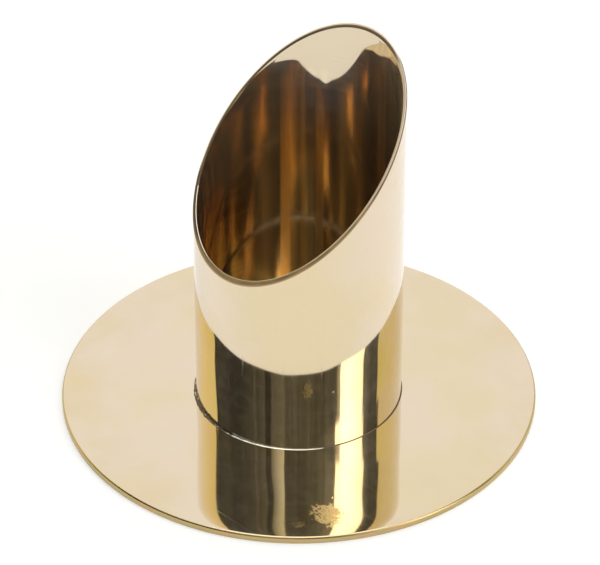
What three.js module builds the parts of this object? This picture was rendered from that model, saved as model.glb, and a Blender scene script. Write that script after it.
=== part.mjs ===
// Candle holder: a thin-walled brass tube, its top cut off at a slant, stands upright on a flat round
// plate. Solder holds it there, in a fillet round the outside of the joint and another round the inside.
// Millimetres, +Z up. The origin is the middle of the plate's underside. The cut is lowest towards -Y
// and highest towards +Y, so the object is its own mirror image about the plane x = 0, apart from the
// solder, which is heaviest on one side.

import * as THREE from 'three';

// Driving dimensions
const PLATE_DIAMETER = 120;
const PLATE_THICKNESS = 2;
const PLATE_TOP_ROUND = 0.5;
const PLATE_FOOT_ROUND = 0.25;
const EDGE_FALL = 0.24;
const EDGE_FALL_WIDTH = 8;
const TUBE_DIAMETER = 52;
const TUBE_WALL = 1;
const CUT_LOW = 49;
const CUT_HIGH = 97;
const RIM_OUTER_EASE = 0.45;
const RIM_INNER_EASE = 0.15;
const MOUTH_FLARE = 0.24;
const MOUTH_DEPTH = 6;
const SOLDER_LEG = 0.4;
const SOLDER_LUMP = 0.8;
const SOLDER_LUMP_PLACE = THREE.MathUtils.degToRad(253);
const SOLDER_LUMP_SPREAD = 12;
const SOLDER_INNER_LEG = 0.9;
const SOLDER_HOLLOW = 0.3;

// Every round surface has its corners at the same angles, so what touches lies facet on facet.
const FACETS = 144;
const ROUND_STEPS = 4;
const FALL_STEPS = 4;
const FILLET_STEPS = 5;

const plateRadius = PLATE_DIAMETER / 2;
const tubeRadius = TUBE_DIAMETER / 2;
const boreRadius = tubeRadius - TUBE_WALL;
const floorRadius = boreRadius - SOLDER_INNER_LEG;
const cutMiddle = (CUT_LOW + CUT_HIGH) / 2;
const cutSlope = (CUT_HIGH - CUT_LOW) / TUBE_DIAMETER;

// The points of a quarter round about (r, z), from one compass angle to another, both in degrees.
function quarterRound(r, z, radius, from, to) {
  const points = [];
  for (let i = 0; i <= ROUND_STEPS; i++) {
    const angle = THREE.MathUtils.degToRad(from + ((to - from) * i) / ROUND_STEPS);
    points.push(new THREE.Vector2(r + radius * Math.cos(angle), z + radius * Math.sin(angle)));
  }
  return points;
}

// A solid of revolution about Z from a profile of (radius, height) points. The profile runs up the
// outside and back down nearer the axis, so that the faces point outwards.
function turned(profile) {
  return new THREE.LatheGeometry(profile, FACETS).rotateX(Math.PI / 2);
}

// Moves each corner of a turned solid to where place(corner) puts it.
function reshaped(geometry, place) {
  const positions = geometry.getAttribute('position');
  const corner = new THREE.Vector3();
  for (let i = 0; i < positions.count; i++) {
    corner.fromBufferAttribute(positions, i);
    place(corner);
    positions.setXYZ(i, corner.x, corner.y, corner.z);
  }
  geometry.computeVertexNormals();
  return geometry;
}

function polishedBrass() {
  return new THREE.MeshStandardMaterial({ color: 0xe3c98f, roughness: 0.08, metalness: 1 });
}

function dullSolder() {
  return new THREE.MeshStandardMaterial({ color: 0x8d8a84, roughness: 0.45, metalness: 1 });
}

// How far the polishing wheel has worn a face away at each step from the edge inwards. It is worn most at
// the edge itself, and the wear runs out tangent to the face.
function wornAway(depth, width, power) {
  const steps = [];
  for (let i = 0; i <= FALL_STEPS; i++) {
    const t = i / FALL_STEPS;
    steps.push({ fromEdge: t * width, worn: depth * Math.pow(1 - t, power) });
  }
  return steps;
}

// A turned disc, with a full round on the edge that hands touch and a fine one on the edge it stands on.
// Near the edge its top falls away a little. Further in, the top is divided at the toe of the inner
// solder: inside that circle is the candle's free floor.
function basePlate() {
  const topEdge = PLATE_THICKNESS - EDGE_FALL - PLATE_TOP_ROUND;
  const fall = wornAway(EDGE_FALL, EDGE_FALL_WIDTH, 4).slice(1);
  const profile = [
    new THREE.Vector2(0, 0),
    ...quarterRound(plateRadius - PLATE_FOOT_ROUND, PLATE_FOOT_ROUND, PLATE_FOOT_ROUND, -90, 0),
    ...quarterRound(plateRadius - PLATE_TOP_ROUND, topEdge, PLATE_TOP_ROUND, 0, 90),
    ...fall.map(({ fromEdge, worn }) => new THREE.Vector2(plateRadius - fromEdge, PLATE_THICKNESS - worn)),
    new THREE.Vector2(floorRadius, PLATE_THICKNESS),
    new THREE.Vector2(0, PLATE_THICKNESS),
  ];
  return new THREE.Mesh(turned(profile), polishedBrass());
}

// The tube is turned with a square top, its outer edge well eased, its inner edge only broken, and its
// mouth polished out a little wider than the bore. The top is then slid up and down along Y until it
// lies in the plane of the cut. The walls stay upright, the cut is a true plane, and each eased edge
// runs out smoothly into the wall and into the cut: blunt where the cut opens the corner, sharp where
// it closes it. The worn mouth follows the cut all the way round.
function socketTube() {
  const mouthRadius = boreRadius + MOUTH_FLARE;
  const mouth = wornAway(MOUTH_FLARE, MOUTH_DEPTH, 3).slice(1);
  const profile = [
    new THREE.Vector2(tubeRadius, PLATE_THICKNESS),
    ...quarterRound(tubeRadius - RIM_OUTER_EASE, cutMiddle - RIM_OUTER_EASE, RIM_OUTER_EASE, 0, 90),
    ...quarterRound(mouthRadius + RIM_INNER_EASE, cutMiddle - RIM_INNER_EASE, RIM_INNER_EASE, 90, 180),
    ...mouth.map(({ fromEdge, worn }) => new THREE.Vector2(boreRadius + worn, cutMiddle - fromEdge)),
    new THREE.Vector2(boreRadius, PLATE_THICKNESS),
    new THREE.Vector2(tubeRadius, PLATE_THICKNESS),
  ];
  const cut = reshaped(turned(profile), (corner) => {
    if (corner.z > PLATE_THICKNESS) corner.z += cutSlope * corner.y;
  });
  return new THREE.Mesh(cut, polishedBrass());
}

// The section of a fillet in the corner between the plate and an upright wall: square in the corner,
// hollow on its face, where the molten metal was drawn up the wall and out over the plate. The leg is
// one long, and side is 1 outside the wall and -1 inside it.
function filletSection(wallRadius, side) {
  const corner = new THREE.Vector2(wallRadius, PLATE_THICKNESS);
  const face = [];
  for (let i = 0; i <= FILLET_STEPS; i++) {
    const t = i / FILLET_STEPS;
    const sag = 2 * SOLDER_HOLLOW * t * (1 - t);
    face.push(new THREE.Vector2(wallRadius + side * (1 - t - sag), PLATE_THICKNESS + t - sag));
  }
  const section = [corner, ...face, corner];
  return side > 0 ? section : section.reverse();
}

// Scales a fillet with a leg of one to the leg that legAt gives at each angle round the wall.
function solderFillet(wallRadius, side, legAt) {
  const fillet = reshaped(turned(filletSection(wallRadius, side)), (corner) => {
    const radius = Math.hypot(corner.x, corner.y);
    const leg = legAt(Math.atan2(corner.y, corner.x));
    const stretch = 1 + ((radius - wallRadius) * (leg - 1)) / radius;
    corner.x *= stretch;
    corner.y *= stretch;
    corner.z = PLATE_THICKNESS + (corner.z - PLATE_THICKNESS) * leg;
  });
  return new THREE.Mesh(fillet, dullSolder());
}

// The iron was held longest at one place, where the bead is thickest. It thins out evenly from there.
function outerLeg(angle) {
  const away = (1 - Math.cos(angle - SOLDER_LUMP_PLACE)) / 2;
  return SOLDER_LEG + SOLDER_LUMP * Math.pow(1 - away, SOLDER_LUMP_SPREAD);
}

const pieces = {
  base_plate: basePlate(),
  socket_tube: socketTube(),
  outer_solder_fillet: solderFillet(tubeRadius, 1, outerLeg),
  inner_solder_fillet: solderFillet(boreRadius, -1, () => SOLDER_INNER_LEG),
};

const candleHolder = new THREE.Group();
for (const [name, piece] of Object.entries(pieces)) {
  piece.name = name;
  candleHolder.add(piece);
}

export default candleHolder;
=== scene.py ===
# Candle holder in polished brass: a thin tube, cut off at a slant, soldered upright on a round plate.
# All lengths are in metres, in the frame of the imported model: +Z up, the low side of the cut towards -Y.
import math

import bmesh
import bpy
from mathutils import Matrix, Vector, noise


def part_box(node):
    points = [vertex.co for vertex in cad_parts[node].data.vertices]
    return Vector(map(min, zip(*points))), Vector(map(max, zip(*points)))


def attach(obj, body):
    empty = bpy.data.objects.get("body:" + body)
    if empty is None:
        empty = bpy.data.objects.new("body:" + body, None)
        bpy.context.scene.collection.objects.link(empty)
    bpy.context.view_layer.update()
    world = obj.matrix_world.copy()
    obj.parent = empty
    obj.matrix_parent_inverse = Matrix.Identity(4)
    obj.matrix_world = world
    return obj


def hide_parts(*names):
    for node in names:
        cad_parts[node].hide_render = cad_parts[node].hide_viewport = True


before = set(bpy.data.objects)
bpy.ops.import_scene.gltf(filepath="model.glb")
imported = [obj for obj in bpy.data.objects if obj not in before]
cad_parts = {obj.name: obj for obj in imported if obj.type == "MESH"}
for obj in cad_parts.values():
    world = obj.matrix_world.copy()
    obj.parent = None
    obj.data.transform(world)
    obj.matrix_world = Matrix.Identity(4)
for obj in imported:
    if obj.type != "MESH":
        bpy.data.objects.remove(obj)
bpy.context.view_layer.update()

MM = 0.001
TINY = 0.001 * MM

# Sizes taken from the frame
PLATE_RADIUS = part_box("base_plate")[1].x
PLATE_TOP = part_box("base_plate")[1].z
TUBE_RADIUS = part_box("socket_tube")[1].x
BORE_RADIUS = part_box("inner_solder_fillet")[1].x
WALL_MIDDLE = (BORE_RADIUS + TUBE_RADIUS) / 2

# The plate's top falls off towards its rounded edge. Faces whose normal rises less than this are its side.
PLATE_TOP_ROUND = 0.5 * MM
PLATE_FOOT_ROUND = 0.25 * MM
EDGE_FALL = 0.24 * MM
EDGE_FALL_WIDTH = 8 * MM
EDGE_FALL_RINGS = 12
PLATE_SIDE_RISE = 0.95

# The tube is cut off by a plane.
CUT_LOW = 49 * MM
CUT_HIGH = 97 * MM
CUT_SLOPE = (CUT_HIGH - CUT_LOW) / (2 * TUBE_RADIUS)
CUT_MIDDLE = (CUT_LOW + CUT_HIGH) / 2
SAW_ALLOWANCE = 5 * MM

# Both edges of the cut are eased. An ease lies within its reach below the cut. Its depth is a share of an
# even round's: the outer ease is worn deep on the near side and hardly touched on the far side.
RIM_OUTER_EASE = 0.5 * MM
RIM_OUTER_REACH = 4 * RIM_OUTER_EASE
RIM_OUTER_DEPTH_NEAR = 1.4
RIM_OUTER_DEPTH_FAR = 0.3
RIM_INNER_EASE = 0.38 * MM
RIM_INNER_REACH = 2.5 * RIM_INNER_EASE
RIM_INNER_DEPTH = 0.4

# The mop has widened the bore just below the cut.
MOUTH_FLARE = 0.07 * MM
MOUTH_FLARE_START = 1 * MM
MOUTH_FLARE_DEPTH = 5 * MM
MOUTH_RINGS = 10
MOUTH_RADIUS = BORE_RADIUS + MOUTH_FLARE

# Faces whose normal rises more than this belong to the filed rim. The mop has polished its inner ease on
# the camera's left, up to this far behind the middle.
RIM_RISE = 0.16
RIM_POLISH_END = 5 * MM

# Steps once round the turned forms, and across each rounded edge
TURN_STEPS = 512
ROUND_SEGMENTS = 6

# The bead of solder is thin all round, and heavy on one side, where the iron was held. Its legs are uneven
# by a share of their length, in grains of this size.
BEAD_LEG = 0.22 * MM
BEAD_UNEVEN = 0.06
BEAD_GRAIN = 1.1 * MM
BEAD_LUMP = 0.6 * MM
BEAD_LUMP_UNEVEN = 0.2
BEAD_LUMP_PLACE = math.radians(250)
BEAD_LUMP_SHARPNESS = 10
BEAD_INNER_LEG = 0.9 * MM
BEAD_INNER_UNEVEN = 0.2
BEAD_INNER_GRAIN = 2 * MM
BEAD_HOLLOW = 0.3
BEAD_STEPS = 900
BEAD_FACE_STEPS = 10

# The camera looks at the holder from the low side of the cut, turned to its right.
CAMERA_AZIMUTH = math.radians(45)
CAMERA_ELEVATION = math.radians(36)
CAMERA_DISTANCE = 0.9
CAMERA_ORBIT_CENTRE = Vector((0, 0, 0.030))
CAMERA_AIM_RIGHT = 0.3 * MM
CAMERA_AIM_HEIGHT = 34.3 * MM
CAMERA_LENS = 216.7
CAMERA_SENSOR = 36
CAMERA_NEAREST = 10 * MM

# Level directions from the camera's place: to its right, and away from it
RIGHT = Vector((math.cos(CAMERA_AZIMUTH), math.sin(CAMERA_AZIMUTH), 0))
AWAY = Vector((-math.sin(CAMERA_AZIMUTH), math.cos(CAMERA_AZIMUTH), 0))


# Objects, meshes and materials

def add_object(name, data):
    obj = bpy.data.objects.new(name, data)
    bpy.context.scene.collection.objects.link(obj)
    return obj


def mesh_of(bm, name, *materials):
    mesh = bpy.data.meshes.new(name)
    bm.to_mesh(mesh)
    bm.free()
    for material in materials:
        mesh.materials.append(material)
    return mesh


def new_material(name):
    material = bpy.data.materials.new(name)
    material.use_nodes = True
    return material


# Camera

def add_camera():
    back = Vector((0, 0, math.sin(CAMERA_ELEVATION))) - AWAY * math.cos(CAMERA_ELEVATION)
    camera = add_object("camera", bpy.data.cameras.new("camera"))
    camera.data.lens = CAMERA_LENS
    camera.data.sensor_width = CAMERA_SENSOR
    camera.data.clip_start = CAMERA_NEAREST
    camera.location = CAMERA_ORBIT_CENTRE + back * CAMERA_DISTANCE
    aim = RIGHT * CAMERA_AIM_RIGHT + Vector((0, 0, CAMERA_AIM_HEIGHT))
    camera.rotation_euler = (aim - camera.location).to_track_quat("-Z", "Y").to_euler()
    bpy.context.scene.camera = camera


# The room is a ring of screens round the holder. Each screen is a list of (azimuth, light) stops, and its
# light changes evenly between them. Azimuths are seen from the camera: 0 is straight ahead behind the
# holder, 90 to the right, 180 behind the camera. Rows are from one height angle to another, in degrees.
# The lower row shows in the tube, the upper in the plate.
SCREEN_RADIUS = 1.6
SCREEN_STEP = 3
LOWER_ROW = (0, 38)
UPPER_ROW = (38, 55)


def grey(level):
    return (level, level * 1.08, level * 1.1)


def white(level):
    return (level, level, level)


LOWER_SCREENS = {
    "warm_screen_left": [(-75, (1.06, 1.03, 0.54)), (-50, (1.1, 1.05, 0.68)), (-28, (1, 1, 0.92))],
    "curtain": [(-120, grey(0.065)), (-102, grey(0.05)), (-96, grey(0.055)), (-75, grey(0.08))],
    "wall_left": [(-143, grey(0.12)), (-120, grey(0.08))],
    "post": [(-149, grey(0.05)), (-143, grey(0.05))],
    "door": [(-164, grey(0.21)), (-149, grey(0.14))],
    "wall_back": [(-223, grey(0.18)), (-217, grey(0.115)), (-205, grey(0.115)), (-180, grey(0.14)),
                  (-164, grey(0.12))],
    "softbox_edge": [(133, grey(0.8)), (137, grey(0.27))],
    "softbox": [(104.5, white(2.2)), (118, white(3.3)), (127, white(3.7)), (133, white(3.1))],
    "wall_right": [(82, grey(0.09)), (93, grey(0.11)), (104.5, grey(0.24))],
    "warm_screen_right": [(28, (0.94, 0.94, 0.90)), (50, (0.93, 0.88, 0.60)), (82, (0.91, 0.90, 0.48))],
}
UPPER_SCREENS = {
    "warm_screen_left": [(-70, (1.02, 0.95, 0.52)), (-50, (1.06, 1.0, 0.70)), (-28, (1.02, 1.02, 0.94))],
    "curtain": [(-120, grey(0.10)), (-102, grey(0.075)), (-70, grey(0.085))],
    "wall_left": [(-143, grey(0.15)), (-120, grey(0.10))],
    "post": [(-149, grey(0.08)), (-143, grey(0.07))],
    "door": [(-163, grey(0.86)), (-156, grey(0.62)), (-149, grey(0.23))],
    "wall_back": [(-222, grey(0.33)), (-210, grey(0.205)), (-190, grey(0.12)), (-163, grey(0.095))],
    "softbox": [(102, white(2.2)), (116, white(3.3)), (127, white(3.7)), (138, white(3.0))],
    "wall_right": [(78, grey(0.07)), (92, grey(0.08)), (102, grey(0.22))],
    "warm_screen_right": [(28, (0.96, 0.96, 0.92)), (50, (0.90, 0.87, 0.66)), (78, (0.89, 0.83, 0.54))],
}

# Cloth and plaster are uneven: these screens have upright folds that change their light a little.
FOLDED_SCREENS = ("curtain", "wall_left", "wall_back", "wall_right")
FOLD_SCALE = 9
FOLD_STRETCH = (1, 1, 0.03)
FOLD_CHANGE = 0.25


def screen_material(name, change):
    """Shines with the light painted on the screen, changed by the folds by up to this share."""
    material = new_material(name)
    nodes, links = material.node_tree.nodes, material.node_tree.links
    nodes.clear()
    light = nodes.new("ShaderNodeAttribute")
    light.attribute_name = "light"
    across = nodes.new("ShaderNodeMapping")
    across.inputs["Scale"].default_value = FOLD_STRETCH
    links.new(nodes.new("ShaderNodeTexCoord").outputs["Object"], across.inputs["Vector"])
    folds = nodes.new("ShaderNodeTexNoise")
    folds.inputs["Scale"].default_value = FOLD_SCALE
    folds.inputs["Detail"].default_value = 3
    links.new(across.outputs["Vector"], folds.inputs["Vector"])
    level = nodes.new("ShaderNodeMapRange")
    level.inputs["From Min"].default_value = 0.3
    level.inputs["From Max"].default_value = 0.7
    level.inputs["To Min"].default_value = 1 - change
    level.inputs["To Max"].default_value = 1 + change
    links.new(folds.outputs["Fac"], level.inputs["Value"])
    emission = nodes.new("ShaderNodeEmission")
    links.new(light.outputs["Color"], emission.inputs["Color"])
    links.new(level.outputs["Result"], emission.inputs["Strength"])
    links.new(emission.outputs[0], nodes.new("ShaderNodeOutputMaterial").inputs["Surface"])
    return material


def light_at(stops, azimuth):
    for (low, first), (high, last) in zip(stops, stops[1:]):
        if azimuth <= high:
            return Vector(first).lerp(Vector(last), max(0, (azimuth - low) / (high - low)))
    return Vector(stops[-1][1])


def bearing(azimuth):
    """The angle about Z at which an azimuth seen from the camera lies."""
    return math.pi / 2 + CAMERA_AZIMUTH - math.radians(azimuth)


def stage_light(bm, name, material):
    screen = add_object(name, mesh_of(bm, name, material))
    screen.visible_camera = False


def add_screen(name, row, stops, material):
    """A strip of the ring, from its first stop to its last, with its light painted on its corners."""
    start, end = stops[0][0], stops[-1][0]
    bm = bmesh.new()
    heights = [SCREEN_RADIUS * math.tan(math.radians(angle)) for angle in row]
    foot, head = (bm.verts.new((SCREEN_RADIUS, 0, height)) for height in heights)
    side = bm.edges.new((foot, head))
    bmesh.ops.rotate(bm, verts=[foot, head], cent=(0, 0, 0), matrix=Matrix.Rotation(bearing(start), 3, "Z"))
    bmesh.ops.spin(bm, geom=[foot, head, side], cent=(0, 0, 0), axis=(0, 0, 1),
                   angle=-math.radians(end - start), steps=max(2, round((end - start) / SCREEN_STEP)))
    light = bm.verts.layers.float_color.new("light")
    middle = (start + end) / 2
    to_middle = Matrix.Rotation(-bearing(middle), 3, "Z")
    for vert in bm.verts:
        turned_back = to_middle @ vert.co
        azimuth = middle - math.degrees(math.atan2(turned_back.y, turned_back.x))
        vert[light] = (*light_at(stops, azimuth), 1)
    stage_light(bm, name, material)


OVERHEAD_HEIGHT = 2.0
OVERHEAD_RADIUS = 0.73
OVERHEAD_LIGHT = white(2.4)


def add_overhead_softbox(material):
    bm = bmesh.new()
    bmesh.ops.create_circle(bm, cap_ends=True, radius=OVERHEAD_RADIUS, segments=64)
    bmesh.ops.translate(bm, verts=bm.verts, vec=(0, 0, OVERHEAD_HEIGHT))
    light = bm.verts.layers.float_color.new("light")
    for vert in bm.verts:
        vert[light] = (*OVERHEAD_LIGHT, 1)
    stage_light(bm, "overhead_softbox", material)


def add_world():
    world = bpy.data.worlds.new("white_studio")
    world.use_nodes = True
    background = world.node_tree.nodes["Background"]
    background.inputs["Color"].default_value = (1, 1, 1, 1)
    background.inputs["Strength"].default_value = 1.0
    bpy.context.scene.world = world


FLOOR_SIZE = 12
FLOOR_COLOUR = (0.62, 0.62, 0.62, 1)
FLOOR_LIFT = 0.45


def add_floor():
    """A white table top. The eye and every mirror see it lifted to white, and the shadow stays on it."""
    material = new_material("white_table")
    nodes, links = material.node_tree.nodes, material.node_tree.links
    nodes.clear()
    paint = nodes.new("ShaderNodeBsdfDiffuse")
    paint.inputs["Color"].default_value = FLOOR_COLOUR
    path = nodes.new("ShaderNodeLightPath")
    seen = path.outputs["Is Camera Ray"]
    for ray in ("Is Glossy Ray", "Is Transmission Ray"):
        either = nodes.new("ShaderNodeMath")
        either.operation = "MAXIMUM"
        links.new(seen, either.inputs[0])
        links.new(path.outputs[ray], either.inputs[1])
        seen = either.outputs[0]
    lift = nodes.new("ShaderNodeMath")
    lift.operation = "MULTIPLY"
    lift.inputs[1].default_value = FLOOR_LIFT
    links.new(seen, lift.inputs[0])
    glow = nodes.new("ShaderNodeEmission")
    links.new(lift.outputs[0], glow.inputs["Strength"])
    both = nodes.new("ShaderNodeAddShader")
    links.new(paint.outputs[0], both.inputs[0])
    links.new(glow.outputs[0], both.inputs[1])
    links.new(both.outputs[0], nodes.new("ShaderNodeOutputMaterial").inputs["Surface"])
    bm = bmesh.new()
    bmesh.ops.create_grid(bm, x_segments=1, y_segments=1, size=FLOOR_SIZE / 2)
    add_object("floor", mesh_of(bm, "floor", material))


def add_studio():
    plain = screen_material("plain_screen", 0)
    folded = screen_material("folded_screen", FOLD_CHANGE)
    for row_name, row, screens in (("lower", LOWER_ROW, LOWER_SCREENS), ("upper", UPPER_ROW, UPPER_SCREENS)):
        for name, stops in screens.items():
            add_screen(f"{row_name}_{name}", row, stops, folded if name in FOLDED_SCREENS else plain)
    add_overhead_softbox(plain)
    add_world()
    add_floor()


# Forms

def turned(profile, steps, closed=False):
    """A surface of revolution about Z from (radius, height) points. A closed profile makes a ring."""
    bm = bmesh.new()
    points = [bm.verts.new((radius, 0, height)) for radius, height in profile]
    ends = points[1:] + points[:1] if closed else points[1:]
    lines = [bm.edges.new(pair) for pair in zip(points, ends)]
    bmesh.ops.spin(bm, geom=points + lines, cent=(0, 0, 0), axis=(0, 0, 1), angle=2 * math.pi,
                   steps=steps, use_merge=True)
    bmesh.ops.remove_doubles(bm, verts=bm.verts, dist=TINY / 10)
    bmesh.ops.recalc_face_normals(bm, faces=bm.faces)
    return bm


def radius_of(co):
    return math.hypot(co.x, co.y)


def set_radius(vert, radius):
    scale = radius / radius_of(vert.co)
    vert.co.x *= scale
    vert.co.y *= scale


def edges_where(bm, test):
    return [edge for edge in bm.edges if all(test(vert.co) for vert in edge.verts)]


def round_off(bm, edges, radius):
    bmesh.ops.bevel(bm, geom=edges, offset=radius, offset_type="OFFSET", segments=ROUND_SEGMENTS,
                    profile=0.5, affect="EDGES", material=-1)


def finish_piece(bm, name, node, slot, *materials):
    bmesh.ops.recalc_face_normals(bm, faces=bm.faces)
    for face in bm.faces:
        face.smooth = True
    piece = add_object(name, mesh_of(bm, name, *materials))
    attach(piece, "root")
    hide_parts(node)
    return piece


def keep_flats_flat(piece):
    """Weighs each corner's normal by the faces' areas, so that a round doesn't bend the flat beside it."""
    weighted = piece.modifiers.new("flats", "WEIGHTED_NORMAL")
    weighted.mode = "FACE_AREA"
    weighted.weight = 100


# The plate

def make_plate(top, side):
    """The plate's top falls off a little towards its edge, where the buffing wheel ran over it."""
    fall = []
    for i in range(EDGE_FALL_RINGS + 1):
        share = i / EDGE_FALL_RINGS
        radius = PLATE_RADIUS - EDGE_FALL_WIDTH * (1 - share)
        fall.append((radius, PLATE_TOP - EDGE_FALL * share ** 4))
    bm = turned([(0, 0), (PLATE_RADIUS, 0)] + fall[::-1] + [(0, PLATE_TOP)], TURN_STEPS)

    def at_edge(co):
        return radius_of(co) > PLATE_RADIUS - TINY

    round_off(bm, edges_where(bm, lambda co: at_edge(co) and co.z > PLATE_TOP / 2), PLATE_TOP_ROUND)
    round_off(bm, edges_where(bm, lambda co: at_edge(co) and co.z < TINY), PLATE_FOOT_ROUND)
    for face in bm.faces:
        face.normal_update()
        face.material_index = 1 if abs(face.normal.z) < PLATE_SIDE_RISE else 0
    keep_flats_flat(finish_piece(bm, "polished_plate", "base_plate", "brass", top, side))


# The tube

def depth_below_cut(co):
    return CUT_MIDDLE + CUT_SLOPE * co.y - co.z


def on_cut(co):
    return abs(depth_below_cut(co)) < TINY


def cut_across(bm, depth, clear, reach=2 * TUBE_RADIUS):
    """Cuts the tube parallel to its rim, this deep below it, as far as it lies within reach of the axis."""
    verts = [vert for vert in bm.verts if radius_of(vert.co) < reach]
    kept = set(verts)
    parts = [part for group in (bm.edges, bm.faces) for part in group if kept.issuperset(part.verts)]
    bmesh.ops.bisect_plane(bm, geom=verts + parts, dist=TINY / 10, plane_co=(0, 0, CUT_MIDDLE - depth),
                           plane_no=Vector((0, -CUT_SLOPE, 1)).normalized(), clear_outer=clear)


def widen_mouth(bm):
    """Pushes rings of the bore's wall outwards, most at the rim, and keeps each as deep below the cut."""
    for i in range(MOUTH_RINGS + 1):
        cut_across(bm, MOUTH_FLARE_START + MOUTH_FLARE_DEPTH * i / MOUTH_RINGS, False, WALL_MIDDLE)
    for vert in bm.verts:
        depth = depth_below_cut(vert.co)
        share = min(1, 1 - (depth - MOUTH_FLARE_START) / MOUTH_FLARE_DEPTH)
        if share > 0 and radius_of(vert.co) < WALL_MIDDLE:
            set_radius(vert, BORE_RADIUS + MOUTH_FLARE * share ** 3)
            vert.co.z = CUT_MIDDLE + CUT_SLOPE * vert.co.y - depth


def ease_outer_edge(bm):
    edge = edges_where(bm, lambda co: on_cut(co) and radius_of(co) > TUBE_RADIUS - TINY)
    round_off(bm, edge, RIM_OUTER_EASE)
    for vert in bm.verts:
        depth = depth_below_cut(vert.co)
        if depth < RIM_OUTER_REACH and radius_of(vert.co) > TUBE_RADIUS - RIM_OUTER_EASE:
            far = (1 + vert.co.dot(AWAY) / TUBE_RADIUS) / 2
            stretch = RIM_OUTER_DEPTH_NEAR + far * (RIM_OUTER_DEPTH_FAR - RIM_OUTER_DEPTH_NEAR)
            vert.co.z += depth * (1 - stretch)


def ease_inner_edge(bm):
    round_off(bm, edges_where(bm, lambda co: on_cut(co) and radius_of(co) < WALL_MIDDLE), RIM_INNER_EASE)
    for vert in bm.verts:
        depth = depth_below_cut(vert.co)
        if depth < RIM_INNER_REACH and radius_of(vert.co) < MOUTH_RADIUS + RIM_INNER_EASE:
            vert.co.z += depth * (1 - RIM_INNER_DEPTH)


def place_on_tube(face):
    """0 where the tube's outside is polished, 1 in its bore and 2 on the filed part of its rim."""
    centre = face.calc_center_median()
    if face.normal.z < RIM_RISE:
        return 0 if radius_of(centre) > WALL_MIDDLE else 1
    on_inner_ease = radius_of(centre) < MOUTH_RADIUS + RIM_INNER_EASE
    polished = on_inner_ease and centre.dot(AWAY) < RIM_POLISH_END and centre.dot(RIGHT) < 0
    return 0 if polished else 2


def make_tube(outside, inside, rim):
    """An upright tube, cut off by a plane. Its mouth is polished out a little wider than the bore."""
    blank_top = CUT_HIGH + SAW_ALLOWANCE
    bm = turned([(TUBE_RADIUS, PLATE_TOP), (TUBE_RADIUS, blank_top), (BORE_RADIUS, blank_top),
                 (BORE_RADIUS, PLATE_TOP)], TURN_STEPS, closed=True)
    cut_across(bm, 0, True)
    bmesh.ops.bridge_loops(bm, edges=edges_where(bm, on_cut))
    widen_mouth(bm)
    ease_outer_edge(bm)
    ease_inner_edge(bm)
    bmesh.ops.recalc_face_normals(bm, faces=bm.faces)
    for face in bm.faces:
        face.material_index = place_on_tube(face)
    keep_flats_flat(finish_piece(bm, "cut_tube", "socket_tube", "brass", outside, inside, rim))


# The solder

def fillet_profile(wall_radius, side):
    """The section of a fillet with a leg of 1 mm between plate and wall, hollow on its face."""
    face = []
    for i in range(BEAD_FACE_STEPS + 1):
        share = i / BEAD_FACE_STEPS
        sag = 2 * BEAD_HOLLOW * share * (1 - share)
        face.append((wall_radius + side * MM * (1 - share - sag), PLATE_TOP + MM * (share - sag)))
    return [(wall_radius, PLATE_TOP)] + face


def make_bead(name, node, wall_radius, side, leg_at, material):
    """A ring of solder whose leg changes round the wall. The side is 1 outside the wall and -1 inside it."""
    bm = turned(fillet_profile(wall_radius, side), BEAD_STEPS, closed=True)
    for vert in bm.verts:
        leg = leg_at(vert.co) / MM
        set_radius(vert, wall_radius + (radius_of(vert.co) - wall_radius) * leg)
        vert.co.z = PLATE_TOP + (vert.co.z - PLATE_TOP) * leg
    finish_piece(bm, name, node, "solder", material)


def outer_leg(co):
    """Thin and nearly even, with a rough lump at one place."""
    angle = math.atan2(co.y, co.x)
    lump = ((1 + math.cos(angle - BEAD_LUMP_PLACE)) / 2) ** BEAD_LUMP_SHARPNESS
    rough = noise.fractal(co / BEAD_GRAIN, 1.0, 2.0, 4)
    return (BEAD_LEG + BEAD_LUMP * lump) * (1 + rough * (BEAD_UNEVEN + BEAD_LUMP_UNEVEN * lump))


def inner_leg(co):
    """Even all round, apart from its grain."""
    return BEAD_INNER_LEG * (1 + BEAD_INNER_UNEVEN * noise.fractal(co / BEAD_INNER_GRAIN, 1.0, 2.0, 3))


# Materials

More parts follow.
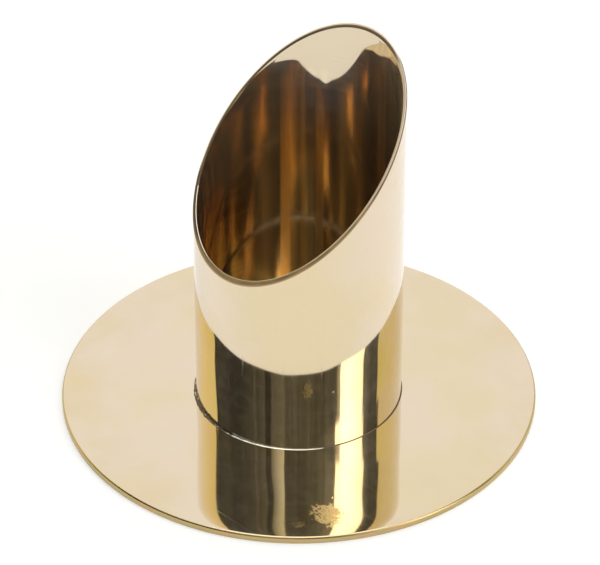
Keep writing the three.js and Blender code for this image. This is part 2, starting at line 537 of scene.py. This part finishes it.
class Finish:
    """A metal's material, with the steps that make its patterns. They lie in the piece's own frame."""

    def __init__(self, name):
        self.material = new_material(name)
        self.nodes = self.material.node_tree.nodes
        self.links = self.material.node_tree.links
        self.place = self.nodes.new("ShaderNodeTexCoord").outputs["Object"]

    def add(self, kind, **settings):
        node = self.nodes.new(kind)
        for name, value in settings.items():
            setattr(node, name, value)
        return node

    def fill(self, node, **inputs):
        """Links or sets the node's inputs, by name or, as in _0, by number, and gives its outputs."""
        for name, value in inputs.items():
            key = int(name[1:]) if name[1:].isdigit() else name.replace("_", " ")
            if isinstance(value, bpy.types.NodeSocket):
                self.links.new(value, node.inputs[key])
            else:
                node.inputs[key].default_value = value
        return node.outputs

    def stretched(self, scale, turn=0):
        """The piece's own coordinates, scaled along each axis and turned about Z."""
        node = self.add("ShaderNodeMapping")
        return self.fill(node, Vector=self.place, Scale=scale, Rotation=(0, 0, turn))["Vector"]

    def noise(self, scale, detail=2, place=None, roughness=0.5):
        node = self.add("ShaderNodeTexNoise")
        self.fill(node, Vector=place or self.place, Scale=scale, Detail=detail, Roughness=roughness)
        return node.outputs["Fac"]

    def ramp(self, value, low, high, to_low=0.0, to_high=1.0):
        """Goes softly from to_low, where the value is low, to to_high, where it is high."""
        node = self.add("ShaderNodeMapRange", interpolation_type="SMOOTHSTEP")
        self.fill(node, Value=value, From_Min=low, From_Max=high, To_Min=to_low, To_Max=to_high)
        return node.outputs["Result"]

    def math(self, operation, first, second=0.0):
        return self.fill(self.add("ShaderNodeMath", operation=operation), _0=first, _1=second)[0]

    def times(self, first, second):
        return self.math("MULTIPLY", first, second)

    def apart(self, first, second):
        """How far two values are from each other."""
        return self.math("ABSOLUTE", self.math("SUBTRACT", first, second))

    def vector(self, operation, first, second=(0, 0, 0)):
        """A step on vectors that gives a vector."""
        node = self.add("ShaderNodeVectorMath", operation=operation)
        return self.fill(node, _0=first, _1=second)["Vector"]

    def measure(self, operation, first, second=(0, 0, 0)):
        """A step on vectors that gives a number."""
        node = self.add("ShaderNodeVectorMath", operation=operation)
        return self.fill(node, _0=first, _1=second)["Value"]

    def along(self, direction, place=None):
        """How far the place lies along a direction."""
        return self.measure("DOT_PRODUCT", place or self.place, direction)

    def height(self):
        return self.fill(self.add("ShaderNodeSeparateXYZ"), Vector=self.place)["Z"]

    def blend(self, share, first, second):
        """A colour on the way from the first to the second."""
        return self.fill(self.add("ShaderNodeMix", data_type="RGBA"), _0=share, _6=first, _7=second)[2]

    def between(self, share, first, second):
        """A vector on the way from the first to the second."""
        return self.fill(self.add("ShaderNodeMix", data_type="VECTOR"), _0=share, _4=first, _5=second)[1]

    def bump(self, height, distance, normal=None):
        node = self.add("ShaderNodeBump")
        outputs = self.fill(node, Height=height, Distance=distance, Strength=1.0)
        if normal:
            self.links.new(normal, node.inputs["Normal"])
        return outputs["Normal"]

    def wear(self, **sockets):
        """Gives the metal its sockets, patterned or even, and hands over the material."""
        self.fill(self.nodes["Principled BSDF"], **{"Metallic": 1.0, **sockets})
        return self.material


# What several finishes share

BRASS_PINK = (0.76, 0.64, 0.50, 1)
BRASS_PAINTED_WARM_REFLECTION = (0.74, 0.615, 0.41, 1)
POLISHED_ROUGHNESS = 0.045
SCRATCH_EDGE = 0.06
HAZE_ROUGHNESS = 0.36
HAZE_CLOUDS = 0.5
HAZE_IN_SCRATCHES = 0.8


def hairlines(finish, families, share):
    """Fine scratches over a share of the face: noise drawn out along each family's direction."""
    lines = 0
    for turn, stretch in families:
        dashes = finish.noise(1, 1, finish.stretched(stretch, turn))
        lines = finish.math("MAXIMUM", lines, finish.ramp(dashes, 1 - share, 1 - share + SCRATCH_EDGE))
    return lines


def haze(finish, lines):
    """A thin film of tarnish, in clouds, and thicker along the scratches."""
    clouds = finish.ramp(finish.noise(230, 5, roughness=0.6), 0.4, 0.66, 0, HAZE_CLOUDS)
    return finish.math("MAXIMUM", clouds, finish.times(lines, HAZE_IN_SCRATCHES))


def leaning_normal(finish, lean, flare=0):
    """The wall's normal once it leans by lean, and opens by flare, for each unit of its height."""
    normal = finish.add("ShaderNodeNewGeometry").outputs["Normal"]
    over = finish.math("SUBTRACT", finish.measure("DOT_PRODUCT", normal, lean), flare)
    drop = finish.fill(finish.add("ShaderNodeCombineXYZ"), Z=over)["Vector"]
    return finish.vector("NORMALIZE", finish.vector("SUBTRACT", normal, drop))


# The tube leans a little away from the camera. Its shape stays upright, and its mirror image leans. Its
# front is painted yellower than its sides, a painted reflection of warm light off the table. It has one tiny
# dent.
TUBE_LEAN = AWAY * 0.027 + RIGHT * 0.02
TUBE_SCRATCHES = [(0, (25, 25, 4500)), (0, (2200, 2200, 60))]
TUBE_SCRATCHED_ROUGHNESS = 0.12
TUBE_WAVES = (60, 60, 28)
TUBE_WAVE_HEIGHT = 0.34 * MM
TUBE_WARM_REFLECTION_TO_PINK = (6 * MM, TUBE_RADIUS)
TUBE_TINT_WANDER = 6 * MM
DENT_PLACE = RIGHT * 8.6 * MM - AWAY * 24.53 * MM + Vector((0, 0, 18.7 * MM))
DENT_RADIUS = 0.4 * MM
DENT_DEPTH = 0.02 * MM


def tube_brass():
    """The tube's outside: polished brass, wavy from the draw bench and finely scratched both ways."""
    finish = Finish("tube_brass")
    lines = hairlines(finish, TUBE_SCRATCHES, share=0.33)
    roughness = finish.ramp(lines, 0, 1, POLISHED_ROUGHNESS, TUBE_SCRATCHED_ROUGHNESS)
    waves = finish.noise(1, 1, finish.stretched(TUBE_WAVES))
    normal = finish.bump(waves, TUBE_WAVE_HEIGHT, leaning_normal(finish, TUBE_LEAN))
    from_dent = finish.measure("DISTANCE", finish.place, DENT_PLACE)
    normal = finish.bump(finish.ramp(from_dent, 0, DENT_RADIUS), DENT_DEPTH, normal)
    # Painted reflection: the tube is yellower where it faces the camera, as if mirroring warm light off the
    # table.
    aside = finish.math("ABSOLUTE", finish.along(RIGHT))
    wander = finish.ramp(finish.noise(40, 3), 0.35, 0.65, -TUBE_TINT_WANDER, TUBE_TINT_WANDER)
    pink = finish.ramp(finish.math("ADD", aside, wander), *TUBE_WARM_REFLECTION_TO_PINK)
    return finish.wear(Base_Color=finish.blend(pink, BRASS_PAINTED_WARM_REFLECTION, BRASS_PINK), Roughness=roughness,
                       Normal=normal, Coat_Normal=normal, Coat_Weight=haze(finish, lines),
                       Coat_Roughness=HAZE_ROUGHNESS)


# The bore, brown below and polished at its mouth. Pairs are heights between which one look gives way to
# the other.
BORE_MOUTH = (0.735, 0.615, 0.445, 1)
BORE_BROWN = (0.805, 0.66, 0.45, 1)
BORE_LIGHT = (0.88, 0.76, 0.50, 1)
# The amber colour is a painted reflection of bright light, laid on in streaks.
BORE_PAINTED_REFLECTION = (1, 0.71, 0.34, 1)
BORE_LOW_DARK = (0.27, 0.2, 0.12, 1)
BORE_METALLIC = 0.95
BORE_BROWN_TO_MOUTH = (66 * MM, 75 * MM)
BORE_FLECKS_FADE = (84 * MM, 77 * MM)
BORE_FLECKS = (420, 420, 3)
BORE_FLECKS_STRENGTH = 0.7
BORE_RINGS = (15, 15, 1600)
BORE_RING_HEIGHT = 0.0004 * MM
BORE_RING_BROWN = 0.2
BORE_WAVES = (90, 90, 3)
BORE_WAVE_HEIGHT = 0.03 * MM
BORE_DRAWN_LINES = (360, 360, 4)
BORE_DRAWN_HEIGHT = 0.008 * MM

# How rough it is from ring to ring, and how much more below the polish and in the painted amber reflections
BORE_ROUGHNESSES = (0.035, 0.05)
BORE_DULL_BELOW = (76 * MM, 60 * MM)
BORE_DULLNESS = 0.047
REFLECTION_STREAK_DULLNESS = 0.12

# Amber streaks, a painted reflection of bright light mirrored down the bore: place to the camera's right,
# half width and top, in mm, and strength. Below its top a streak comes in over this many mm. Its soft edge
# lies between these shares of its half width.
BORE_REFLECTION_STREAKS = [(-3.4, 1.3, 84, 0.8), (5.2, 1.1, 76, 0.7)]
BORE_STREAK_FADE = 6
STREAK_SOFT_EDGE = (0.7, 1.3)

# Darker upright bands low in it: place to the camera's right and half width, in mm, and strength
BORE_LOW_DARK_BANDS = [(-19, 5, 0.85), (-13.6, 2.6, 0.8), (0.8, 1.2, 0.3), (13.2, 1.5, 0.35)]
BORE_LOW_DARK_FADE = (58 * MM, 42 * MM)
LOW_DARK_SOFT_EDGE = (0.5, 1.4)

# Dust of wax lies on the upper part, thickest in the middle, and follows the rings.
DUST_FROM = (58 * MM, 74 * MM)
DUST_IN_RINGS = (0.6, 1)
DUST_MIDDLE = 3 * MM
DUST_HALF_WIDTHS = (7 * MM, 15 * MM)
DUST_ASIDE = 0.5
DUST_IOR = 1.9

# The bore's wall is nearly straight at the foot, and the mop has drawn it out of true towards the mouth: it
# leans there, opens just below the cut and has a crease, all in its mirror image and not in its shape.
BORE_LEAN_FOOT = AWAY * 0.005
BORE_LEAN_MOUTH = AWAY * 0.035 - RIGHT * 0.055
BORE_LEAN_HEIGHTS = (45 * MM, 72 * MM)
BORE_FLARE = 0.06
BORE_FLARE_DEPTH = 6 * MM
CREASE_PLACE = 6.7 * MM
CREASE_HALF_WIDTH = 1.6 * MM
CREASE_TILT = 0.008
CREASE_HEIGHTS = (64 * MM, 74 * MM)


def band(finish, aside, place, half_width, soft_edge, strength):
    """An upright band on the wall, of this strength in its middle. Its place and half width are in mm."""
    inner, outer = (half_width * share * MM for share in soft_edge)
    return finish.ramp(finish.apart(aside, place * MM), inner, outer, strength, 0)


def bore_painted_reflections(finish, aside, height):
    """How much of the painted amber reflection lies on the wall."""
    amber = 0
    for place, half_width, top, strength in BORE_REFLECTION_STREAKS:
        streak = band(finish, aside, place, half_width, STREAK_SOFT_EDGE, strength)
        below_top = finish.ramp(height, top * MM, (top - BORE_STREAK_FADE) * MM)
        amber = finish.math("ADD", amber, finish.times(streak, below_top))
    return finish.ramp(amber, 0, 1)


def bore_colour(finish, aside, height, amber, rings):
    flecks = finish.noise(1, 4, finish.stretched(BORE_FLECKS))
    flecks = finish.ramp(flecks, 0.3, 0.7, 0, BORE_FLECKS_STRENGTH)
    flecks = finish.times(flecks, finish.ramp(height, *BORE_FLECKS_FADE))
    colour = finish.blend(finish.ramp(height, *BORE_BROWN_TO_MOUTH), BORE_BROWN, BORE_MOUTH)
    colour = finish.blend(flecks, colour, BORE_LIGHT)
    # Painted reflection: amber streaks.
    colour = finish.blend(amber, colour, BORE_PAINTED_REFLECTION)
    low = finish.ramp(height, *BORE_LOW_DARK_FADE)
    # Darker upright bands low in the bore.
    for place, half_width, strength in BORE_LOW_DARK_BANDS:
        patch = band(finish, aside, place, half_width, LOW_DARK_SOFT_EDGE, strength)
        colour = finish.blend(finish.times(patch, low), colour, BORE_LOW_DARK)
    return finish.blend(finish.ramp(rings, 0.5, 0.72, 0, BORE_RING_BROWN), colour, BORE_BROWN)


def bore_normal(finish, aside, height, rings):
    lean = finish.between(finish.ramp(height, *BORE_LEAN_HEIGHTS), BORE_LEAN_FOOT, BORE_LEAN_MOUTH)
    depth = finish.math("ADD", finish.along((0, CUT_SLOPE, -1)), CUT_MIDDLE)
    flare = finish.ramp(depth, 0, BORE_FLARE_DEPTH, BORE_FLARE, 0)
    off = finish.math("DIVIDE", finish.apart(aside, CREASE_PLACE), CREASE_HALF_WIDTH)
    crease = finish.math("MAXIMUM", finish.math("SUBTRACT", 1, off), 0)
    crease = finish.times(crease, finish.ramp(height, *CREASE_HEIGHTS, 0, CREASE_TILT))
    normal = leaning_normal(finish, lean, finish.math("ADD", flare, crease))
    normal = finish.bump(finish.noise(1, 1, finish.stretched(BORE_WAVES)), BORE_WAVE_HEIGHT, normal)
    normal = finish.bump(finish.noise(1, 3, finish.stretched(BORE_DRAWN_LINES)), BORE_DRAWN_HEIGHT, normal)
    return finish.bump(rings, BORE_RING_HEIGHT, normal)


def bore_dust(finish, aside, height, rings):
    dust = finish.times(finish.ramp(height, *DUST_FROM), finish.ramp(rings, 0.3, 0.7, *DUST_IN_RINGS))
    off = finish.apart(aside, DUST_MIDDLE)
    return finish.times(dust, finish.ramp(off, *DUST_HALF_WIDTHS, 1, DUST_ASIDE))


def bore_brass():
    """The bore was polished only as far as a mop reaches, in rings, and drawn lines show through below."""
    finish = Finish("bore_brass")
    height = finish.height()
    aside = finish.along(RIGHT)
    rings = finish.noise(1, 2, finish.stretched(BORE_RINGS))
    amber = bore_painted_reflections(finish, aside, height)
    dull = finish.ramp(height, *BORE_DULL_BELOW, 0, BORE_DULLNESS)
    dull = finish.math("ADD", dull, finish.times(amber, REFLECTION_STREAK_DULLNESS))
    roughness = finish.math("ADD", finish.ramp(rings, 0.35, 0.7, *BORE_ROUGHNESSES), dull)
    normal = bore_normal(finish, aside, height, rings)
    return finish.wear(Base_Color=bore_colour(finish, aside, height, amber, rings), Metallic=BORE_METALLIC,
                       Roughness=roughness, Normal=normal, Coat_Normal=normal,
                       Coat_Weight=bore_dust(finish, aside, height, rings), Coat_Roughness=HAZE_ROUGHNESS,
                       Coat_IOR=DUST_IOR)


# The rim. Its filed colour is the metal's own. The pale strip on its outer edge and the cream strip on its
# inner edge are painted highlights, and its dark and brown parts painted shade. Pairs are distances to the
# camera's right, or away from it, between which one look gives way to the other.
RIM_FILED = (0.50, 0.34, 0.17, 1)
RIM_FILED_LIGHT = (0.64, 0.45, 0.24, 1)
RIM_PAINTED_HIGHLIGHT = (0.95, 0.83, 0.72, 1)
RIM_PAINTED_SHADE = (0.20, 0.145, 0.10, 1)
RIM_PAINTED_CREAM_HIGHLIGHT = (0.86, 0.70, 0.55, 1)
RIM_PAINTED_DEEP_SHADE = (0.13, 0.095, 0.065, 1)
LEFT_PART = (12 * MM, 4 * MM)
BEHIND_NEAREST_PART = (-12 * MM, -2 * MM)
FAR_PART = (7 * MM, 11 * MM)
RIGHT_PART = (14 * MM, 20 * MM)
HIGHLIGHT_OUTER_RADII = (TUBE_RADIUS - RIM_OUTER_EASE, TUBE_RADIUS - 0.4 * MM)
FAR_SHADE = 0.75
RIM_ROUGHNESSES = (0.45, 0.55)

# A painted highlight, a cream strip, follows the inner edge on the right, and widens along it.
CREAM_START = (-1 * MM, 4 * MM)
CREAM_WIDENS = (5 * MM, 22 * MM)
CREAM_RADII = (BORE_RADIUS + 0.35 * MM, BORE_RADIUS + 0.72 * MM)
CREAM_SOFT_EDGE = 0.1 * MM


def rim_brass():
    """The sawn top was filed and mopped, so it is softer in its shine than the walls. Its pale and cream
    strips are painted highlights, and its dark and brown parts painted shade.
    """
    finish = Finish("rim_brass")
    aside, away = finish.along(RIGHT), finish.along(AWAY)
    from_middle = finish.measure("LENGTH", finish.vector("MULTIPLY", finish.place, (1, 1, 0)))
    filed = finish.noise(300, 2)
    colour = finish.blend(filed, RIM_FILED, RIM_FILED_LIGHT)
    # Painted shade: dark on the left and on the far part, deep brown on the near right.
    left = finish.times(finish.ramp(aside, *LEFT_PART), finish.ramp(away, *BEHIND_NEAREST_PART))
    dark = finish.math("MAXIMUM", left, finish.ramp(away, *FAR_PART, 0, FAR_SHADE))
    colour = finish.blend(dark, colour, RIM_PAINTED_SHADE)
    near = finish.ramp(away, *FAR_PART, 1, 0)
    colour = finish.blend(finish.times(finish.ramp(aside, *RIGHT_PART), near), colour, RIM_PAINTED_DEEP_SHADE)
    # Painted highlight: a cream strip along the inner edge on the right.
    cream_radius = finish.ramp(aside, *CREAM_WIDENS, *CREAM_RADII)
    cream = finish.ramp(finish.math("SUBTRACT", from_middle, cream_radius), CREAM_SOFT_EDGE, 0)
    cream = finish.times(cream, finish.times(near, finish.ramp(aside, *CREAM_START)))
    colour = finish.blend(cream, colour, RIM_PAINTED_CREAM_HIGHLIGHT)
    # Painted highlight: a pale strip on the outer edge, on the near side.
    pale = finish.times(finish.ramp(from_middle, *HIGHLIGHT_OUTER_RADII), finish.ramp(away, *FAR_PART))
    return finish.wear(Base_Color=finish.blend(pale, colour, RIM_PAINTED_HIGHLIGHT),
                       Roughness=finish.ramp(filed, 0.3, 0.7, *RIM_ROUGHNESSES))


# The plate, yellower in clouds, worn towards its edge and dull inside the tube
PLATE_PINK = (0.805, 0.675, 0.515, 1)
PLATE_YELLOW = (0.79, 0.66, 0.435, 1)
PLATE_WORN = (0.77, 0.63, 0.42, 1)
PLATE_WORN_RADII = (PLATE_RADIUS - 20 * MM, PLATE_RADIUS)
PLATE_DULL_RADII = (BORE_RADIUS + 0.5 * MM, BORE_RADIUS - 0.5 * MM)
PLATE_DULL_ROUGHNESS = 0.07
PLATE_SCRATCHES = [(turn, (20, 3500, 20)) for turn in (0.4, 1.3, 2.3)]
PLATE_SCRATCHED_ROUGHNESS = 0.13
PLATE_WAVES = 38
PLATE_WAVE_HEIGHT = 0.16 * MM

# Stains on the plate: place to the camera's right and away from it, then half the size both ways, in mm.
# The soft edge lies between these shares of that half size.
SPOT_SOFT_EDGE = (1.5, 0.5)
SMUDGE = (6.6, -51.1, 3.6, 4.0)
SMALL_SMUDGE = (-0.2, -55.2, 1.9, 1.2)
EDGE_STAIN = (-56.2, 1.3, 3.0, 3.6)
SMUDGE_GOLD = (0.80, 0.62, 0.30, 1)
SMUDGE_ROUGHNESS = 0.38
SMALL_SMUDGE_STRENGTH = 0.6
EDGE_STAIN_STRENGTH = 0.3
BLOTCHES = (0.55, 0.95)


def spot(finish, patch, fray, fray_scale):
    """1 inside an oval place on the plate and 0 outside, with a frayed edge."""
    right, away, half_across, half_away = (value * MM for value in patch)
    from_centre = finish.vector("SUBTRACT", finish.place, RIGHT * right + AWAY * away)
    across = finish.along(RIGHT / half_across, from_centre)
    behind = finish.along(AWAY / half_away, from_centre)
    reach = finish.math("ADD", finish.times(across, across), finish.times(behind, behind))
    edge = finish.math("SUBTRACT", finish.noise(fray_scale, 5, roughness=0.7), 0.5)
    reach = finish.math("ADD", finish.math("SQRT", reach), finish.times(edge, fray))
    return finish.ramp(reach, *SPOT_SOFT_EDGE)


def plate_smudges(finish):
    large = spot(finish, SMUDGE, fray=2.3, fray_scale=700)
    small = finish.times(spot(finish, SMALL_SMUDGE, fray=3, fray_scale=1200), SMALL_SMUDGE_STRENGTH)
    blotches = finish.ramp(finish.noise(1300, 4), 0.34, 0.56)
    return finish.times(finish.math("MAXIMUM", large, small), finish.ramp(blotches, 0, 1, *BLOTCHES))


def plate_brass():
    finish = Finish("plate_brass")
    from_middle = finish.measure("LENGTH", finish.place)
    colour = finish.blend(finish.ramp(finish.noise(30, 3), 0.38, 0.62), PLATE_PINK, PLATE_YELLOW)
    worn = finish.ramp(finish.noise(70, 4), 0.3, 0.7)
    worn = finish.times(worn, finish.ramp(from_middle, *PLATE_WORN_RADII))
    colour = finish.blend(worn, colour, PLATE_WORN)
    edge_stain = finish.times(spot(finish, EDGE_STAIN, fray=2.5, fray_scale=500), EDGE_STAIN_STRENGTH)
    colour = finish.blend(edge_stain, colour, SMUDGE_GOLD)
    smudges = plate_smudges(finish)
    colour = finish.blend(smudges, colour, SMUDGE_GOLD)
    lines = hairlines(finish, PLATE_SCRATCHES, share=0.30)
    roughness = finish.ramp(lines, 0, 1, POLISHED_ROUGHNESS, PLATE_SCRATCHED_ROUGHNESS)
    roughness = finish.math("MAXIMUM", roughness, finish.ramp(smudges, 0, 1, 0, SMUDGE_ROUGHNESS))
    dull = finish.ramp(from_middle, *PLATE_DULL_RADII, 0, PLATE_DULL_ROUGHNESS)
    roughness = finish.math("MAXIMUM", roughness, dull)
    normal = finish.bump(finish.noise(PLATE_WAVES, 1), PLATE_WAVE_HEIGHT)
    return finish.wear(Base_Color=colour, Roughness=roughness, Normal=normal, Coat_Normal=normal,
                       Coat_Weight=haze(finish, lines), Coat_Roughness=HAZE_ROUGHNESS)


# The side's darker brown is painted shade, the mirrored contact shadow at the plate's foot. The drawn lines
# are grain.
EDGE_SHADED_DRAWN_DARK = (0.38, 0.27, 0.10, 1)
EDGE_SHADED_DRAWN_LIGHT = (0.66, 0.54, 0.27, 1)
EDGE_TINT = (0.62, 0.38, 0.20, 1)
EDGE_TINT_STRENGTH = 0.5
EDGE_DRAWN_LINES = (60, 60, 2600)
EDGE_ROUGHNESSES = (0.25, 0.4)


def edge_brass_painted_shade():
    """The plate's side shows the drawn lines of the saw and the file under its polish. Its brown darkness is
    painted shade: the contact shadow at the plate's foot, as the side mirrors it.
    """
    finish = Finish("edge_brass_painted_shade")
    drawn = finish.noise(1, 3, finish.stretched(EDGE_DRAWN_LINES))
    tint = finish.times(finish.ramp(finish.noise(130, 2), 0.42, 0.6), EDGE_TINT_STRENGTH)
    colour = finish.blend(tint, finish.blend(drawn, EDGE_SHADED_DRAWN_DARK, EDGE_SHADED_DRAWN_LIGHT), EDGE_TINT)
    return finish.wear(Base_Color=colour, Roughness=finish.ramp(drawn, 0.3, 0.7, *EDGE_ROUGHNESSES))


# The solder. The two parts are distances towards its clean side, and to the camera's right, between which
# it turns clean or burnt. There its grain shows more or less of the bright metal.
SOLDER_DARK = (0.145, 0.105, 0.075, 1)
SOLDER_GREY = (0.50, 0.46, 0.40, 1)
SOLDER_BRIGHT = (0.95, 0.89, 0.73, 1)
SOLDER_INNER_GREY = (0.42, 0.38, 0.32, 1)
SOLDER_CLEAN_SIDE = Vector((math.cos(math.radians(301)), math.sin(math.radians(301)), 0))
SOLDER_CLEAN_PART = (22 * MM, 25.4 * MM)
SOLDER_CLEAN_MORE = 0.4
SOLDER_BURNT_PART = (5 * MM, 10 * MM)
SOLDER_BURNT_LESS = 0.6
SOLDER_PITS = 0.025 * MM
SOLDER_ROUGHNESSES = (0.45, 0.16)
SOLDER_INNER_ROUGHNESS = 0.3


def outer_solder():
    """Bright where the bead ran freely, dark with burnt flux round the rest."""
    finish = Finish("grey_solder")
    clean = finish.ramp(finish.along(SOLDER_CLEAN_SIDE), *SOLDER_CLEAN_PART)
    burnt = finish.ramp(finish.along(RIGHT), *SOLDER_BURNT_PART)
    grain = finish.math("ADD", finish.noise(1200, 4), finish.times(clean, SOLDER_CLEAN_MORE))
    grain = finish.math("SUBTRACT", grain, finish.times(burnt, SOLDER_BURNT_LESS))
    bright = finish.ramp(grain, 0.57, 0.70)
    colour = finish.blend(bright, SOLDER_DARK, finish.blend(clean, SOLDER_GREY, SOLDER_BRIGHT))
    pits = finish.times(finish.noise(1300, 3), finish.math("SUBTRACT", 1, clean))
    return finish.wear(Base_Color=colour, Roughness=finish.ramp(bright, 0, 1, *SOLDER_ROUGHNESSES),
                       Normal=finish.bump(pits, SOLDER_PITS))


def inner_solder():
    finish = Finish("inner_grey_solder")
    grain = finish.ramp(finish.noise(700, 4), 0.45, 0.75)
    return finish.wear(Base_Color=finish.blend(grain, SOLDER_DARK, SOLDER_INNER_GREY),
                       Roughness=SOLDER_INNER_ROUGHNESS)


# Making

# The bore mirrors itself many times over.
MIRRORINGS = 24

bpy.context.scene.view_settings.view_transform = "Standard"
bpy.context.scene.cycles.max_bounces = MIRRORINGS
bpy.context.scene.cycles.glossy_bounces = MIRRORINGS

add_camera()
add_studio()
make_plate(plate_brass(), edge_brass_painted_shade())
make_tube(tube_brass(), bore_brass(), rim_brass())
make_bead("outer_solder_bead", "outer_solder_fillet", TUBE_RADIUS, 1, outer_leg, outer_solder())
make_bead("inner_solder_bead", "inner_solder_fillet", BORE_RADIUS, -1, inner_leg, inner_solder())
